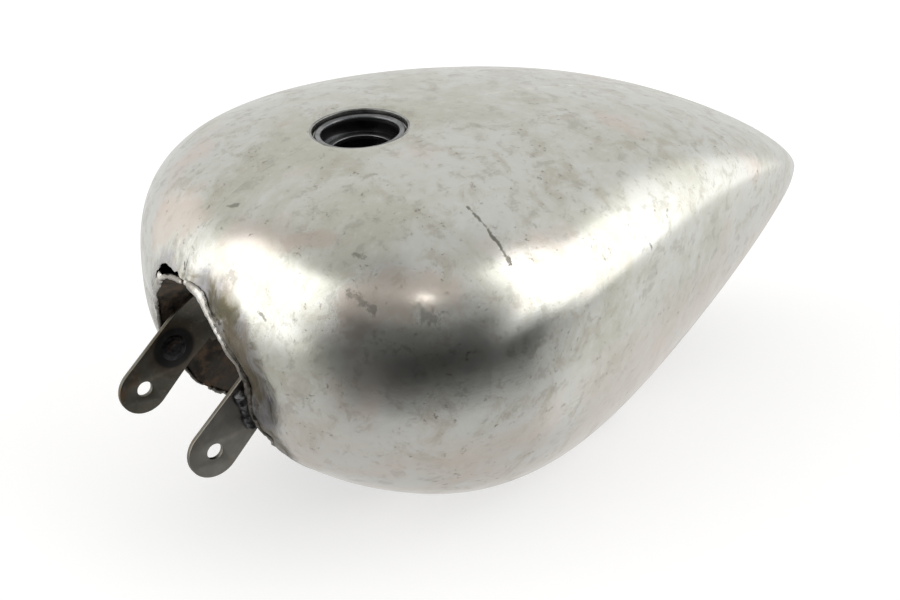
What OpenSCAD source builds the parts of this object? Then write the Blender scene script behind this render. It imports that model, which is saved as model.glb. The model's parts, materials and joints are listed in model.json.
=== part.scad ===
// Welded steel motorcycle fuel tank: two pressed half shells over a frame tunnel, with a sunk screw-in
// filler, two bolt ears at the nose, a bolt plate at the rear of the tunnel and a fuel tap bung.
// +X points to the nose, +Y to the rider's left, +Z up. The origin lies under the middle, on the ground.

/* [Body] */
// Length of the body from nose to tail
body_length = 510; // [470:5:550]
// Thickness of the pressed sheet
sheet = 1.6; // [1.2:0.1:2.4]
// Widths that pull the plan outline out, from nose to tail
plan_pull = [475, 435, 220, 280, 305]; // [200:5:520]
// Heights that pull the crown up over the shoulder line, from nose to tail
crown_pull = [195, 105, 70, 45]; // [40:5:220]
// Depths that pull the belly down under the shoulder line, from nose to tail
belly_pull = [120, 300, 315, 30]; // [20:5:340]
// Heights of the shoulder line, from nose to tail
shoulder_pull = [100, 130, 185, 75]; // [60:5:200]
// Squareness of the section above the shoulder, where 2 is an ellipse
crown_square = [2.45, 2.7, 2.1]; // [1.8:0.05:3.2]
// Squareness of the section below the shoulder
belly_square = [2.25, 2.9, 2.2]; // [1.8:0.05:3.2]
// Rise of each lobe's bottom towards the tunnel
lobe_rise = 8; // [6:1:18]

/* [Tunnel] */
// Clear width of the tunnel
tunnel_w = 86; // [80:1:92]
// Height of the tunnel roof at the nose, above the body's base line
roof_front = 138; // [132:1:142]
// Fall of the roof in a hundred millimetres towards the tail
roof_fall = 16; // [14:0.5:18]
// Widening of the tunnel at its mouth, each side
mouth_flare = 4; // [2:0.5:6]

/* [Filler] */
// Distance of the filler in front of the body's middle
filler_x = 132; // [120:1:145]
// Diameter of the hole in the crown
filler_hole_d = 57; // [54:0.5:60]
// Outside diameter of the neck
neck_d = 52.6; // [50:0.2:53]
// Bore of the neck
neck_bore_d = 45.4; // [43:0.2:46]
// Bore of the seat that the cap's seal meets
seat_bore_d = 34; // [30:0.5:38]
// Depth of the neck's lip under the crown
lip_depth = 3.5; // [2:0.5:5]
// Depth of the seat under the lip
seat_depth = 10; // [8:0.5:12]
// Lean of the filler's axis towards the nose, in degrees
filler_lean = 3; // [0:0.5:6]

/* [Front ears] */
// Distance between the middles of the two ear plates
ear_spacing = 83; // [77:1:83]
// Thickness of an ear plate
ear_t = 3; // [2.5:0.5:4]
// Width of an ear
ear_w = 32; // [28:1:34]
// Diameter of the bolt hole
ear_hole_d = 9.6; // [8.2:0.2:11]
// Bolt hole's distance in front of the body's middle
ear_hole_x = 264.5; // [258:0.5:270]
// Bolt hole's height above the body's base line
ear_hole_z = 57.5; // [52:0.5:64]
// Slope of the ears, in degrees from level
ear_slope = 44; // [38:1:50]

/* [Rear plate] */
// Middle of the plate's hole, behind the body's middle
plate_x = 165; // [155:1:172]
// Length of the plate along the tank
plate_l = 34; // [28:1:40]
// Thickness of the plate
plate_t = 4; // [3:0.5:5]
// Diameter of the plate's bolt hole
plate_hole_d = 10.4; // [8.2:0.2:12]

/* [Fuel tap bung] */
// Bung's distance behind the body's middle
bung_x = 10; // [0:1:40]
// Bung's distance to the left of the middle plane
bung_y = 62; // [60:1:72]
// Outside diameter of the bung
bung_d = 26; // [22:1:30]
// Diameter of the bung's threaded hole at its pitch line
bung_hole_d = 14.8; // [12:0.2:16]

/* [Hidden] */
$fn = 96;

half_l = body_length / 2;
seam_half = 1;
seam_crown = 0.5;
nose_power = 0.3;
crown_tail_power = 0.48;
belly_nose_power = 0.25;
belly_tail_power = 0.35;
plan_nose_power = 0.5;
plan_tail_power = 0.77;
lobe_blend = 36;
flare_length = 9;
tunnel_r = tunnel_w / 2;
hole_r = filler_hole_d / 2;
tip = 0.999;
columns = 20;
tunnel_columns = 9;
skin_color = [0.72, 0.72, 0.70];
weld_color = [0.45, 0.43, 0.41];
plate_color = [0.36, 0.34, 0.32];
neck_color = [0.50, 0.51, 0.53];

// ---- body surface: s runs from 0 at the nose to 1 at the tail, a from 90 at the crown to -90 below ----

function choose(n, k) = k == 0 ? 1 : choose(n, k - 1) * (n - k + 1) / k;
function bezier(c, s) = let (n = len(c) - 1)
    sum([for (k = [0:n]) c[k] * choose(n, k) * pow(s, k) * pow(1 - s, n - k)]);
function sum(v, i = 0) = i == len(v) - 1 ? v[i] : v[i] + sum(v, i + 1);
function unit(v) = v / norm(v);
function mix(a, b, u) = a + (b - a) * u;

function along(s) = half_l - body_length * s;
function station(x) = (half_l - x) / body_length;
function half_width(s) = pow(s, plan_nose_power) * pow(1 - s, plan_tail_power) * bezier(plan_pull, s);
function crown_rise(s) = pow(s, nose_power) * pow(1 - s, crown_tail_power) * bezier(crown_pull, s);
function belly_drop(s) = pow(s, belly_nose_power) * pow(1 - s, belly_tail_power) * bezier(belly_pull, s);
function shoulder(s) = bezier(shoulder_pull, s);

// The lobes' undersides turn up towards the tunnel, where the body is wide enough to have lobes.
function lobe_lift(s, y, a) = let (
        wide = min(1, max(0, (half_width(s) - tunnel_r) / lobe_blend)),
        near = min(1, max(0, 1 - (y - tunnel_r) / lobe_blend))
    ) lobe_rise * wide * pow(near, 2) * pow(sin(a), 2);

function skin(s, a) = a >= 0
    ? let (e = 2 / bezier(crown_square, s))
        [along(s), half_width(s) * pow(cos(a), e), shoulder(s) + crown_rise(s) * pow(sin(a), e)]
    : let (e = 2 / bezier(belly_square, s), y = half_width(s) * pow(cos(a), e))
        [along(s), y, shoulder(s) - belly_drop(s) * pow(-sin(a), e) + lobe_lift(s, y, a)];

// Angle at which the section is y wide, above (side 1) or below (side -1) the shoulder.
function angle_at(s, y, side) = let (
        n = bezier(side > 0 ? crown_square : belly_square, s)
    ) side * acos(pow(min(1, y / half_width(s)), n / 2));

function normal(s, a) = let (
        ds = min(0.002, s / 2, (1 - s) / 2),
        da = 0.4,
        lengthwise = skin(s + ds, a) - skin(s - ds, a),
        around = skin(s, max(-89.9, a - da)) - skin(s, min(89.9, a + da))
    ) unit(cross(around, lengthwise));

// ---- tunnel: a round-topped channel whose roof falls towards the tail ----

function channel_r(x) = tunnel_r + mouth_flare * exp(-(half_l - x) / flare_length);
function spring_z(x) = roof_front - (half_l - x) * roof_fall / 100 - tunnel_r;
function clear_of(p, grow) = let (up = p.z - spring_z(p.x))
    (up > 0 ? norm([p.y, up]) : p.y) - channel_r(p.x) - grow;

// Angle at which the section meets the channel, found by halving.
function meet(s, grow, hi, lo, turns = 26) = let (mid = (hi + lo) / 2)
    turns == 0 ? mid
    : clear_of(skin(s, mid), grow) > 0 ? meet(s, grow, mid, lo, turns - 1)
    : meet(s, grow, hi, mid, turns - 1);

function open_below(s, grow) = clear_of(skin(s, angle_at(s, seam_half, -1)), grow) < 0;
function first_angle(s) = let (
        d = along(s) - filler_x,
        rim = abs(d) < hole_r ? sqrt(pow(hole_r, 2) - d * d) : 0
    ) angle_at(s, max(seam_half, rim), 1);
function last_angle(s, grow) = open_below(s, grow)
    ? meet(s, grow, first_angle(s), angle_at(s, 0, -1))
    : angle_at(s, seam_half, -1);

// Where the crown comes clear of the channel at the nose, and where the belly does near the tail.
function find_nose(lo, hi, turns = 24) = let (mid = (lo + hi) / 2)
    turns == 0 ? mid
    : clear_of(skin(mid, angle_at(mid, seam_half, 1)), sheet) > 0.8 ? find_nose(lo, mid, turns - 1)
    : find_nose(mid, hi, turns - 1);
function find_end(lo, hi, turns = 24) = let (mid = (lo + hi) / 2)
    turns == 0 ? mid
    : open_below(mid, 0) ? find_end(mid, hi, turns - 1)
    : find_end(lo, mid, turns - 1);

s_nose = find_nose(0.002, 0.05);
s_end = find_end(0.7, 0.99);
s_rim_front = station(filler_x + hole_r);
s_rim_rear = station(filler_x - hole_r);
front_steps = 13;
rim_steps = 10;
middle_steps = 12;
tail_steps = 9;
front_rows = [for (i = [0:front_steps]) mix(s_nose, s_rim_front, pow(i / front_steps, 1.9))];
rim_rows = [for (i = [1:rim_steps]) station(filler_x + hole_r * cos(180 * i / rim_steps))];
middle_rows = [for (i = [1:middle_steps]) mix(s_rim_rear, s_end - 0.001, i / middle_steps)];
tail_rows = [for (i = [1:tail_steps]) mix(s_end, tip, 1 - pow(1 - i / tail_steps, 2))];
tunnel_rows = concat(front_rows, rim_rows, middle_rows);
rows = concat(tunnel_rows, tail_rows);

// ---- sheets: a grid of outside points and one of inside points, closed round their edges ----

function grid_faces(m, n, base, flip) = [
    for (i = [0:m - 2]) for (j = [0:n - 2]) let (p = base + i * n + j)
        each flip
            ? [[p, p + 1, p + n], [p + 1, p + n + 1, p + n]]
            : [[p, p + n, p + 1], [p + 1, p + n, p + n + 1]]
];
function edge_faces(m, n) = let (
        o = m * n,
        ring = concat(
            [for (j = [0:n - 2]) j],
            [for (i = [0:m - 2]) i * n + n - 1],
            [for (j = [n - 1:-1:1]) (m - 1) * n + j],
            [for (i = [m - 1:-1:1]) i * n]
        ),
        c = len(ring)
    ) [for (k = [0:c - 1]) let (p = ring[k], q = ring[(k + 1) % c])
        each [[p, q, p + o], [q, q + o, p + o]]];

module sheet_between(outer, inner) {
    m = len(outer);
    n = len(outer[0]);
    points = concat([for (r = outer) each r], [for (r = inner) each r]);
    polyhedron(points, concat(grid_faces(m, n, 0, false), grid_faces(m, n, m * n, true), edge_faces(m, n)));
}

// One half shell, on the +Y side.
module half_shell() {
    outer = [for (s = rows) let (a0 = first_angle(s), a1 = last_angle(s, sheet))
        [for (j = [0:columns]) skin(s, mix(a0, a1, j / columns))]];
    inner = [for (s = rows) let (a0 = first_angle(s), a1 = last_angle(s, sheet))
        [for (j = [0:columns]) let (
                a = mix(a0, a1, j / columns),
                p = skin(s, a),
                q = p - sheet * normal(s, a)
            ) [q.x, j == 0 ? p.y : max(seam_half, q.y), q.z]]];
    sheet_between(outer, inner);
}

// A point of the channel, v along the profile from the roof's middle, grown outwards by g.
function channel_point(x, v, g) = let (
        r = channel_r(x),
        quarter = r * PI / 2,
        side = v < 0 ? -1 : 1,
        l = abs(v),
        turn = min(l, quarter) / r * 180 / PI
    ) [x, side * (r + g) * sin(turn), spring_z(x) + (r + g) * cos(turn) - max(0, l - quarter)];
function channel_reach(s, g) = let (
        p = skin(s, last_angle(s, g)),
        up = p.z - spring_z(p.x),
        r = channel_r(p.x)
    ) up > 0 ? atan2(p.y, up) * PI / 180 * r : r * PI / 2 - up;

module tunnel_sheet() {
    n = tunnel_columns * 2;
    inside = [for (s = tunnel_rows) let (reach = channel_reach(s, 0))
        [for (j = [0:n]) channel_point(along(s), mix(-reach, reach, j / n), 0)]];
    outside = [for (s = tunnel_rows) let (reach = channel_reach(s, sheet))
        [for (j = [0:n]) channel_point(along(s), mix(-reach, reach, j / n), sheet)]];
    sheet_between(outside, inside);
}

// ---- welds: a section swept along a path, with its own outward direction at each point ----

function tangent(path, i) = unit(path[min(len(path) - 1, i + 1)] - path[max(0, i - 1)]);

// profile is a list of [sideways, outwards] pairs, from the -sideways end over the outside to the other
module sweep(path, out, profile) {
    m = len(path);
    n = len(profile);
    points = [for (i = [0:m - 1]) let (
            t = tangent(path, i),
            b = unit(cross(t, out[i])),
            u = unit(cross(b, t))
        ) each [for (p = profile) path[i] + p[0] * b + p[1] * u]];
    side_faces = [for (i = [0:m - 2]) for (j = [0:n - 1]) let (k = (j + 1) % n)
        each [[i * n + j, (i + 1) * n + j, i * n + k], [i * n + k, (i + 1) * n + j, (i + 1) * n + k]]];
    ends = [[for (j = [0:n - 1]) j], [for (j = [n - 1:-1:0]) (m - 1) * n + j]];
    polyhedron(points, concat(side_faces, ends));
}

seam_profile = [[-seam_half, -sheet], [-seam_half, 0], [0, seam_crown], [seam_half, 0], [seam_half, -sheet]];
bead_r = 2.2;
bead_profile = [for (a = [180:-45:0]) [bead_r * cos(a), bead_r * 0.7 * sin(a)]];

function crown_point(s) = let (p = skin(s, angle_at(s, seam_half, 1))) [p.x, 0, p.z];
function belly_point(s) = let (p = skin(s, angle_at(s, seam_half, -1))) [p.x, 0, p.z];
function flat_normal(path, i) = let (t = tangent(path, i)) [t.z, 0, -t.x];

nose_seam_path = [for (s = front_rows) crown_point(s)];
rear_seam_rows = [for (s = rows) if (s >= s_rim_rear) s];
under_seam_rows = [for (i = [len(tail_rows) - 1:-1:0]) tail_rows[i]];
spine_seam_path = concat(
    [for (s = rear_seam_rows) crown_point(s)],
    [[-half_l + 0.2, 0, shoulder(tip)]],
    [for (s = under_seam_rows) belly_point(s)]
);

// The joint of shell and channel, from the top of the mouth back along the left lobe.
function joint_point(s) = skin(s, last_angle(s, sheet / 2));
function joint_normal(s) = normal(s, max(-85, last_angle(s, sheet / 2)));
mouth_rows = [for (s = tunnel_rows) if (along(s) > half_l - 32) s];
lobe_rows = [for (s = tunnel_rows) if (along(s) <= half_l - 32) s];
function mirrored(v) = [for (p = v) [p.x, -p.y, p.z]];
function reversed(v) = [for (i = [len(v) - 1:-1:0]) v[i]];

module mouth_bead() {
    top_angles = [for (u = [0.2:0.2:0.8]) mix(89, last_angle(s_nose, sheet / 2), u)];
    left = concat([for (a = top_angles) skin(s_nose, a)], [for (s = mouth_rows) joint_point(s)]);
    out = concat([for (a = top_angles) normal(s_nose, a)], [for (s = mouth_rows) joint_normal(s)]);
    sweep(concat(reversed(left), mirrored(left)), concat(reversed(out), mirrored(out)), bead_profile);
}

module lobe_bead() {
    sweep([for (s = lobe_rows) joint_point(s)], [for (s = lobe_rows) joint_normal(s)], bead_profile);
}

// ---- filler ----

crown_at_filler = crown_point(station(filler_x)).z;
lip_r = neck_d / 2;
neck_r = neck_bore_d / 2;
neck_h = 22;
seat_t = 3;
cup_wall = 1.2;

module at_filler() {
    translate([filler_x, 0, crown_at_filler]) rotate([0, filler_lean, 0]) children();
}

// Pressed ring from the crown's hole down to a shelf round the neck.
module cup_profile() {
    shelf = lip_depth + 2.5;
    polygon([
        [hole_r, -0.6], [hole_r - 0.3, -1.6], [lip_r + 1.6, -shelf], [lip_r + 0.05, -shelf],
        [lip_r + 0.05, -shelf - cup_wall], [lip_r + 1.9, -shelf - cup_wall],
        [hole_r + cup_wall - 0.3, -2.2], [hole_r + cup_wall, -2]
    ]);
}

// Turned neck with a bevelled lip and a relief under the cap's thread.
module neck_profile() {
    top = -lip_depth;
    bevel = 0.7;
    relief = 0.8;
    seat_top = top - seat_depth;
    polygon([
        [neck_r, top - bevel], [neck_r + bevel, top], [lip_r - bevel, top], [lip_r, top - bevel],
        [lip_r, top - neck_h], [neck_r, top - neck_h],
        [neck_r, seat_top - seat_t], [neck_r + relief, seat_top - seat_t],
        [neck_r + relief, seat_top], [neck_r, seat_top + relief]
    ]);
}

module seat_profile() {
    top = -lip_depth - seat_depth;
    rim = 0.8;
    polygon([
        [seat_bore_d / 2, top - seat_t], [seat_bore_d / 2, top - rim], [seat_bore_d / 2 + rim, top],
        [neck_r + rim, top], [neck_r + rim, top - seat_t]
    ]);
}

module filler_weld_profile() {
    top = -lip_depth - 2.5 - cup_wall;
    leg = 3;
    polygon([[lip_r, top], [lip_r + leg, top - 0.2], [lip_r, top - leg]]);
}

// ---- ears: seen from the side, a round end on a strip that widens where it lies on the tunnel wall ----

ear_r = ear_w / 2;
ear_hole = [ear_hole_x, ear_hole_z];
ear_dir = [-cos(ear_slope), sin(ear_slope)];
ear_side = [sin(ear_slope), cos(ear_slope)];
ear_face = ear_spacing / 2 + ear_t / 2;
strip_l = 28;
ear_top_z = 116;
ear_foot = [34, 5];
ear_heel = [40, 26];
ear_toe = [15, 7];

// The strip runs up from the round end, then spreads where it lies on the tunnel wall.
module ear_outline() {
    to_top = (ear_top_z - ear_hole.y - ear_side.y * ear_r) / ear_dir.y;
    front_top = ear_hole + ear_side * ear_r + ear_dir * to_top;
    rear_low = ear_hole - ear_side * ear_r + ear_dir * strip_l;
    translate(ear_hole) circle(r = ear_r);
    polygon([
        ear_hole + ear_side * ear_r, front_top, front_top - ear_foot, front_top - ear_heel,
        rear_low + [-ear_toe.x, ear_toe.y], rear_low, ear_hole - ear_side * ear_r
    ]);
}

// A layer of the tunnel's inner wall: upright below the spring line and arched above it.
module wall_layer() {
    length = 90;
    depth = 70;
    translate([half_l, 0, spring_z(half_l)]) rotate([0, -atan(roof_fall / 100), 0])
        rotate([90, 0, 90]) linear_extrude(length, center = true) {
            intersection() {
                difference() {
                    circle(r = ear_face);
                    circle(r = ear_face - ear_t);
                }
                square(ear_face);
            }
            translate([ear_face - ear_t, -depth]) square([ear_t, depth]);
        }
}

// Left ear: a flat strip whose top is bent over with the tunnel's arch, outer face on the wall.
module ear() {
    difference() {
        intersection() {
            wall_layer();
            translate([0, ear_face + 1, 0]) rotate([90, 0, 0]) linear_extrude(ear_face) ear_outline();
        }
        translate([ear_hole.x, ear_face + ear_t / 2, ear_hole.y]) rotate([90, 0, 0])
            cylinder(d = ear_hole_d, h = ear_t * 2);
    }
}

ear_bead_front = [247.5, 92];
ear_bead_rear = [238.5, 64];
ear_bead_r = [3.6, 3.2];
ear_bead_ripple = 0.3;

// Fillet that fills the gap between the ear's outer face and the flared mouth.
module ear_bead() {
    steps = 8;
    path = [
        for (i = [0:steps]) let (u = i / steps)
        [mix(ear_bead_front.x, ear_bead_rear.x, pow(u, 1.3)), ear_face, mix(ear_bead_front.y, ear_bead_rear.y, u)]
    ];
    half_round = [
        for (k = [0:6]) let (a = 180 - 30 * k)
        [ear_bead_r.x * cos(a), (ear_bead_r.y + ear_bead_ripple * (k % 2)) * sin(a)]
    ];
    sweep(path, [for (p = path) [0.25, 1, 0]], half_round);
}

plug_r = 8;
plug_h = 0.9;
plug_from_hole = 29.5;

// Plug weld on the ear's inner face, which joins the ear to the wall behind it.
module plug() {
    at = ear_hole + ear_dir * plug_from_hole;
    translate([at.x, ear_face - ear_t, at.y]) rotate([90, 0, 0])
        cylinder(r1 = plug_r, r2 = plug_r - plug_h, h = plug_h);
}

// ---- rear plate, across the tunnel ----

plate_low_z = skin(station(-plate_x), last_angle(station(-plate_x), 0)).z + 1;
plate_rear_x = -plate_x - plate_l / 2;
plate_gap = 1.5;

// Half width of the channel at a height over its spring line.
function channel_half(x, z) = let (up = max(0, z - spring_z(x))) sqrt(pow(channel_r(x), 2) - up * up);
plate_half = channel_half(plate_rear_x, plate_low_z + plate_t) - plate_gap;
wall_at_plate = channel_half(-plate_x, plate_low_z + plate_t);

module plate() {
    difference() {
        translate([-plate_x - plate_l / 2, -plate_half, plate_low_z]) cube([plate_l, plate_half * 2, plate_t]);
        translate([-plate_x, 0, plate_low_z - 1]) cylinder(d = plate_hole_d, h = plate_t + 2);
    }
}

// Fillet that joins the plate's edge to the tunnel wall.
module plate_bead() {
    leg = 2.5;
    length = plate_l - 6;
    gap = wall_at_plate - plate_half;
    translate([-plate_x - length / 2, plate_half, plate_low_z]) rotate([90, 0, 90]) linear_extrude(length)
        polygon([[-leg, plate_t], [gap - 0.9, plate_t + leg], [gap, plate_t], [gap + 0.6, 0], [0, 0], [0, plate_t]]);
}

// ---- fuel tap bung ----

bung_s = station(-bung_x);
bung_z = skin(bung_s, angle_at(bung_s, bung_y, -1)).z;
bung_below = 3.5;
bung_above = 9.5;

module at_bung() {
    translate([-bung_x, bung_y, bung_z]) children();
}

// The whole tank is shifted so that its lobes stand on z = 0 with the box's middle over the origin.
box_front = ear_hole_x + ear_r;
box_rear = -half_l - seam_crown;
floor_z = min([for (s = rows) for (a = [-30:-2:-88]) let (p = skin(s, a)) p.y > tunnel_r ? p.z : 999]);

module placed() {
    translate([-(box_front + box_rear) / 2, 0, -floor_z]) children();
}

// ---- sub-parts ----

// resize() keeps the size here: it turns the sheet and its bung hole into one facetted skin.
module left_shell() {
    color(skin_color) placed() resize([0, 0, 0]) difference() {
        half_shell();
        at_bung() translate([0, 0, -20]) cylinder(d = bung_d + 0.1, h = 40, $fn = 32);
    }
}

module right_shell() {
    color(skin_color) placed() mirror([0, 1, 0]) half_shell();
}

module tunnel() {
    color(skin_color * 0.8) placed() tunnel_sheet();
}

module nose_seam_weld() {
    color(weld_color) placed() sweep(
        nose_seam_path, [for (i = [0:len(nose_seam_path) - 1]) flat_normal(nose_seam_path, i)], seam_profile);
}

module spine_seam_weld() {
    color(weld_color) placed() sweep(
        spine_seam_path, [for (i = [0:len(spine_seam_path) - 1]) flat_normal(spine_seam_path, i)], seam_profile);
}

module mouth_weld() {
    color(weld_color) placed() mouth_bead();
}

module left_tunnel_weld() {
    color(weld_color) placed() lobe_bead();
}

module right_tunnel_weld() {
    color(weld_color) placed() mirror([0, 1, 0]) lobe_bead();
}

module filler_recess_cup() {
    color(plate_color) placed() at_filler() rotate_extrude() cup_profile();
}

module filler_neck() {
    color(neck_color) placed() at_filler() rotate_extrude() neck_profile();
}

module filler_seat_ring() {
    color(neck_color) placed() at_filler() rotate_extrude() seat_profile();
}

module filler_weld() {
    color(weld_color) placed() at_filler() rotate_extrude() filler_weld_profile();
}

module left_front_ear() {
    color(plate_color) placed() ear();
}

module right_front_ear() {
    color(plate_color) placed() mirror([0, 1, 0]) ear();
}

module left_ear_weld() {
    color(weld_color) placed() ear_bead();
}

module right_ear_weld() {
    color(weld_color) placed() mirror([0, 1, 0]) ear_bead();
}

module left_plug_weld() {
    color(weld_color) placed() plug();
}

module right_plug_weld() {
    color(weld_color) placed() mirror([0, 1, 0]) plug();
}

module rear_mount_plate() {
    color(plate_color) placed() plate();
}

module rear_plate_welds() {
    color(weld_color) placed() {
        plate_bead();
        mirror([0, 1, 0]) plate_bead();
    }
}

module petcock_bung() {
    color(neck_color) placed() at_bung() translate([0, 0, -bung_below]) difference() {
        cylinder(d = bung_d, h = bung_below + bung_above);
        translate([0, 0, -1]) cylinder(d = bung_hole_d, h = bung_below + bung_above + 2);
    }
}

module petcock_bung_weld() {
    leg = 3;
    color(weld_color) placed() at_bung() translate([0, 0, -0.6]) rotate_extrude()
        polygon([[bung_d / 2, 0], [bung_d / 2, -leg], [bung_d / 2 + leg, 0]]);
}

left_shell();
right_shell();
tunnel();
nose_seam_weld();
spine_seam_weld();
mouth_weld();
left_tunnel_weld();
right_tunnel_weld();
filler_recess_cup();
filler_neck();
filler_seat_ring();
filler_weld();
left_front_ear();
right_front_ear();
left_ear_weld();
right_ear_weld();
left_plug_weld();
right_plug_weld();
rear_mount_plate();
rear_plate_welds();
petcock_bung();
petcock_bung_weld();
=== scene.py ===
"""A raw steel motorcycle fuel tank: pressed half shells on a frame tunnel, sunk filler, front ears."""
import json
import math

import bmesh
import bpy
import numpy as np
from mathutils import Matrix, Vector


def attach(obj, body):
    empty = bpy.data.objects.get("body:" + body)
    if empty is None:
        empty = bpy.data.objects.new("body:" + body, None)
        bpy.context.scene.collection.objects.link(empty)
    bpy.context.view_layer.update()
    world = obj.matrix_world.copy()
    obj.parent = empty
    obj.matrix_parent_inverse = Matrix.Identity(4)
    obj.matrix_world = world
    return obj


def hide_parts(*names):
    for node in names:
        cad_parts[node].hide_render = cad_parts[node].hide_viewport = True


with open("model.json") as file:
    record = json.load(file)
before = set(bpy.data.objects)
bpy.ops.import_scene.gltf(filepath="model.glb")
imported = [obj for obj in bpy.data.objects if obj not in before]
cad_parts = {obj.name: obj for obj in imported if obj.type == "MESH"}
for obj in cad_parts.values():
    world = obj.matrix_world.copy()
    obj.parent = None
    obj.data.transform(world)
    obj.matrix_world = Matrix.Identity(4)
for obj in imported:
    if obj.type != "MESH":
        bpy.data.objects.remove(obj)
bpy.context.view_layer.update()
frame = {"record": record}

# ---- Sizes ----
# In millimetres, in the tank's own base frame: x is 0 at the body's middle, z at its base line.

BODY_LENGTH = 510.0
HALF_LENGTH = BODY_LENGTH / 2
SHEET = 1.6
SEAM_HALF = 1.0
PLAN_PULL = (475, 435, 220, 280, 305)
CROWN_PULL = (195, 105, 70, 45)
BELLY_PULL = (120, 300, 315, 30)
SHOULDER_PULL = (100, 130, 185, 75)
CROWN_SQUARE = (2.45, 2.7, 2.1)
BELLY_SQUARE = (2.25, 2.9, 2.2)
LOBE_RISE = 8.0
LOBE_BLEND = 36.0
TUNNEL_R = 43.0
TUNNEL_ROOF = 138.0
ROOF_FALL = 0.16
MOUTH_FLARE = 4.0
FLARE_LENGTH = 9.0
TIP = 0.999
TINY = 1e-6

FILLER_X = 132.0
HOLE_R = 28.5
NECK_R = 26.3
NECK_BORE_R = 22.7
NECK_HEIGHT = 22.0
LIP_DEPTH = 3.5
SEAT_DEPTH = 10.0
SEAT_BORE_R = 17.0
SEAT_THICK = 3.0
FILLER_LEAN = math.radians(3)

EAR_HOLE = (264.5, 57.5)
EAR_HOLE_R = 4.8
EAR_R = 16.0
EAR_FACE = 43.0
EAR_THICK = 3.0
EAR_SLOPE = math.radians(44)
EAR_TOP = 116.0
EAR_STRIP = 28.0
PLUG_FROM_HOLE = 29.5
PLUG_R = 8.0

PLATE_X = -165.0
PLATE_LENGTH = 34.0
PLATE_THICK = 4.0
PLATE_HOLE_R = 5.2
PLATE_GAP = 1.5

BUNG_X = -10.0
BUNG_Y = 62.0
BUNG_R = 13.0
BUNG_HOLE_R = 7.4
# The bung's rim stands less proud than in the CAD, where it is 3.5.
BUNG_BELOW = 2.2
BUNG_ABOVE = 9.5

MM = 0.001
MOUNTS = {m["name"]: m for m in frame["record"]["mounts"]}
SHIFT = np.array(MOUNTS["front_ear_bore"]["pos_m"]) - np.array([EAR_HOLE[0], 0.0, EAR_HOLE[1]]) * MM


def placed(points):
    """Base-frame millimetres to the frame's metres."""
    return np.asarray(points, float) * MM + SHIFT


def xyz(x, y, z):
    """Points or directions from their three coordinates, each a number or an array."""
    return np.stack(np.broadcast_arrays(x, y, z), axis=-1)


def unit(v):
    return v / np.maximum(np.linalg.norm(v, axis=-1, keepdims=True), 1e-9)


def mirrored(points, side):
    """Points of the left side, or their mirror images where side is -1."""
    return points * np.array([1, side, 1])


# ---- Body surface ----
# s runs from 0 at the nose to 1 at the tail, a from 90 degrees at the crown to -90 below.

def bezier(pull, s):
    n = len(pull) - 1
    return sum(c * math.comb(n, k) * s ** k * (1 - s) ** (n - k) for k, c in enumerate(pull))


def along(s):
    return HALF_LENGTH - BODY_LENGTH * s


def station(x):
    return (HALF_LENGTH - x) / BODY_LENGTH


def half_width(s):
    return s ** 0.5 * (1 - s) ** 0.77 * bezier(PLAN_PULL, s)


def skin(s, a):
    """Point of the pressed body, for arrays of stations and section angles."""
    s, a = np.broadcast_arrays(np.asarray(s, float), np.asarray(a, float))
    up = a >= 0
    power = 2 / np.where(up, bezier(CROWN_SQUARE, s), bezier(BELLY_SQUARE, s))
    rise = s ** 0.3 * (1 - s) ** 0.48 * bezier(CROWN_PULL, s)
    drop = s ** 0.25 * (1 - s) ** 0.35 * bezier(BELLY_PULL, s)
    width = half_width(s)
    y = width * np.clip(np.cos(a), 0, 1) ** power
    wide = np.clip((width - TUNNEL_R) / LOBE_BLEND, 0, 1)
    near = np.clip(1 - (y - TUNNEL_R) / LOBE_BLEND, 0, 1)
    lift = np.where(up, 0, LOBE_RISE * wide * near ** 2 * np.sin(a) ** 2)
    height = np.abs(np.sin(a)) ** power * np.where(up, rise, -drop)
    return xyz(along(s), y, bezier(SHOULDER_PULL, s) + height + lift)


def skin_normal(s, a):
    """Outward direction of the skin, from its slopes over short steps."""
    ds = np.minimum(0.002, np.minimum(s / 2, (1 - s) / 2))
    da = math.radians(0.4)
    top = math.radians(89.9)
    lengthwise = skin(s + ds, a) - skin(s - ds, a)
    around = skin(s, np.maximum(-top, a - da)) - skin(s, np.minimum(top, a + da))
    return unit(np.cross(around, lengthwise))


HALVINGS = 40


def angle_at(s, y, side):
    """Angle at which the section is y wide, above (side 1) or below (side -1) the shoulder."""
    square = bezier(CROWN_SQUARE if side > 0 else BELLY_SQUARE, s)
    return side * np.arccos(np.clip(y / half_width(s), 0, 1) ** (square / 2))


def channel_r(x):
    return TUNNEL_R + MOUTH_FLARE * np.exp(-(HALF_LENGTH - x) / FLARE_LENGTH)


def spring_z(x):
    return TUNNEL_ROOF - (HALF_LENGTH - x) * ROOF_FALL - TUNNEL_R


def clear_of(p, grow=0.0):
    """Distance of a point outside the tunnel's channel, grown outwards."""
    up = p[..., 2] - spring_z(p[..., 0])
    y = np.abs(p[..., 1])
    return np.where(up > 0, np.hypot(y, np.maximum(up, 0)), y) - channel_r(p[..., 0]) - grow


def first_angle(s):
    """Angle at which a shell's section starts: at the seam, or at the filler's hole."""
    reach = np.sqrt(np.maximum(0, HOLE_R ** 2 - (along(s) - FILLER_X) ** 2))
    return angle_at(s, np.maximum(SEAM_HALF, reach), 1)


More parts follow.
